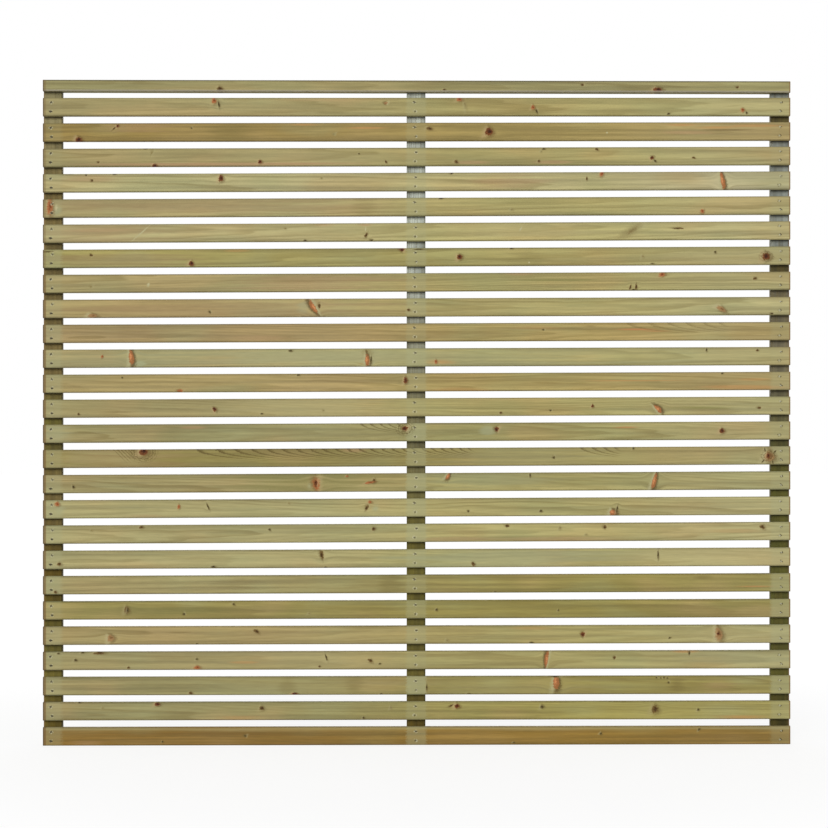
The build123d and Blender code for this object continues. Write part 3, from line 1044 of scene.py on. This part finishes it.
def dress_batten(board, centre, tones, seed, outer):
    """Timber for one upright batten: tones with painted light by height, painted edge shade, a rim and
    painted shadows in front, plain behind.
    """
    graph = new_material(board, board.name + "_timber")
    low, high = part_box(board.name)
    place = batten_place(graph, centre)
    rings = wood_rings(graph, place, seed)
    along, across, through = graph.split(place)
    colour = WOOD[tones[0][1]]
    for (start, _), (end, name) in zip(tones, tones[1:]):
        colour = graph.mix(graph.fade(along, start * MM, end * MM), colour, WOOD[name])
    patch = graph.noise(place, PATCH_WAVES, 1.0)
    colour = weathered(graph, colour, patch, rings)
    # Painted shade along the batten's right edge.
    edge = graph.fade(across, BATTEN_HALF - SHADED_EDGE_WIDTH, BATTEN_HALF, 1.0, BATTEN_RIGHT_SHADING)
    colour = graph.mix(1.0, colour, edge, "MULTIPLY")
    outward = graph.times(across, outer)
    colour = graph.mix(graph.band(outward, BATTEN_HALF, -1, OUTER_RIM_BAND), colour, OUTER_RIM)
    # Painted shadow: a dark line under each board, only on the batten's front.
    shadowed = paint_shadow_line(graph, colour, along, low_edges(centre))
    colour = graph.mix(graph.band(through, low.y, 1, PAINTED_SHADOW_FRONT_BAND), colour, shadowed)
    inside = graph.band(outward, BATTEN_HALF, -1, INSIDE_BAND)
    seen = graph.times(graph.band(through, high.y, -1, OFF_BACK_BAND), inside)
    colour = graph.mix(seen, weathered(graph, WOOD["moss"], patch, rings), colour)
    finish_timber(graph, colour, place, rings["Streak"])


def dress_nails(node, tones):
    """Dull, stained steel on driven nails."""
    graph = new_material(node, node.name + "_steel")
    place = graph.add("TexCoord", output="Object")
    spangle = graph.noise(place, STEEL_WAVES, 3.0)
    colour = graph.mix(graph.fade(spangle, 0.3, 0.7), *tones)
    bump = graph.add("Bump", STEEL_BUMP | {"Height": spangle})
    values = {"Base Color": colour, "Metallic": STEEL_METALLIC, "Normal": bump}
    values["Roughness"] = graph.fade(spangle, *NOISE_SPAN, *STEEL_ROUGHNESS)
    graph.node("OutputMaterial", {"Surface": graph.add("BsdfPrincipled", values)})


def background_ray(graph):
    """One for rays that see the background straight, in a reflection or through glass."""
    path = graph.node("LightPath").outputs
    seen = graph.math("MAXIMUM", path["Is Camera Ray"], path["Is Glossy Ray"])
    return graph.math("MAXIMUM", seen, path["Is Transmission Ray"])


def make_floor():
    """A pale floor, white to the camera apart from the panel's own soft shadow."""
    mesh = bpy.data.meshes.new("floor")
    around = ((-1, -1), (1, -1), (1, 1), (-1, 1))
    corners = [(x * FLOOR_REACH, y * FLOOR_REACH, 0.0) for x, y in around]
    mesh.from_pydata(corners, [], [(0, 1, 2, 3)])
    floor = bpy.data.objects.new("floor", mesh)
    bpy.context.scene.collection.objects.link(floor)
    material = bpy.data.materials.new("floor_pale")
    material.use_nodes = True
    mesh.materials.append(material)
    graph = Graph(material.node_tree)
    seen = background_ray(graph)
    away = graph.length(graph.add("TexCoord", output="Object"))
    white = graph.fade(away, *FLOOR_WHITENS, FLOOR_GLOW, 1.0)
    shaded = graph.minus(FLOOR_LEVEL, white)
    level = graph.math("MULTIPLY_ADD", seen, graph.minus(shaded, FLOOR_TONE), FLOOR_TONE)
    diffuse = graph.add("BsdfDiffuse", {"Color": level})
    glow = graph.add("Emission", {"Strength": graph.times(seen, white)})
    graph.node("OutputMaterial", {"Surface": graph.add("AddShader", {0: diffuse, 1: glow})})


def make_world():
    """White where it is seen, and a plain even light otherwise."""
    world = bpy.data.worlds.new("studio")
    world.use_nodes = True
    bpy.context.scene.world = world
    graph = Graph(world.node_tree)
    strength = graph.fade(background_ray(graph), 0.0, 1.0, WORLD_LEVEL, 1.0)
    background = graph.add("Background", {"Color": (1.0, 1.0, 1.0, 1.0), "Strength": strength})
    graph.node("OutputWorld", {"Surface": background})


def make_lights():
    """A broad soft key from the front, a little above and to the left, and a fill for the back."""
    for name, (level, spread, aim) in LIGHTS.items():
        lamp = bpy.data.lights.new(name, "SUN")
        lamp.energy = level
        lamp.angle = math.radians(spread)
        holder = bpy.data.objects.new(name, lamp)
        holder.rotation_euler = Vector(aim).to_track_quat("-Z", "Y").to_euler()
        bpy.context.scene.collection.objects.link(holder)


def make_camera():
    """The photograph's view: level, and a degree to the left of straight on."""
    lens = bpy.data.cameras.new("camera")
    lens.lens = CAMERA_LENS
    lens.sensor_width = CAMERA_SENSOR
    camera = bpy.data.objects.new("camera", lens)
    turn = math.radians(CAMERA_TURN)
    x, y, z = CAMERA_TARGET
    camera.location = (x - CAMERA_DISTANCE * math.sin(turn), y - CAMERA_DISTANCE * math.cos(turn), z)
    camera.rotation_euler = (math.pi / 2, 0.0, -turn)
    bpy.context.scene.collection.objects.link(camera)
    bpy.context.scene.camera = camera


groups = {"grain": grain_group(), "knot": knot_group(), "stain": stain_group()}

heads = {side: nail_heads(nodes["slat_nails_" + side]) for side in SIDES}
for row in range(len(SLAT_TONES)):
    dress_slat(nodes[f"slat_{row + 1:02d}"], row, heads)
dress_rail(nodes["top_rail"])
for number, side in enumerate(SIDES):
    board = nodes["batten_" + side]
    dress_batten(board, BATTEN_X[side], BATTEN_TONES_AND_LIGHT[side], BATTEN_SEED + number, number - 1)
    dress_nails(nodes["slat_nails_" + side], PALE_STEEL if side == "right" else DARK_STEEL)
dress_nails(nodes["rail_nails"], DARK_STEEL)

make_floor()
make_world()
make_lights()
make_camera()

bpy.context.scene.view_settings.view_transform = "Standard"
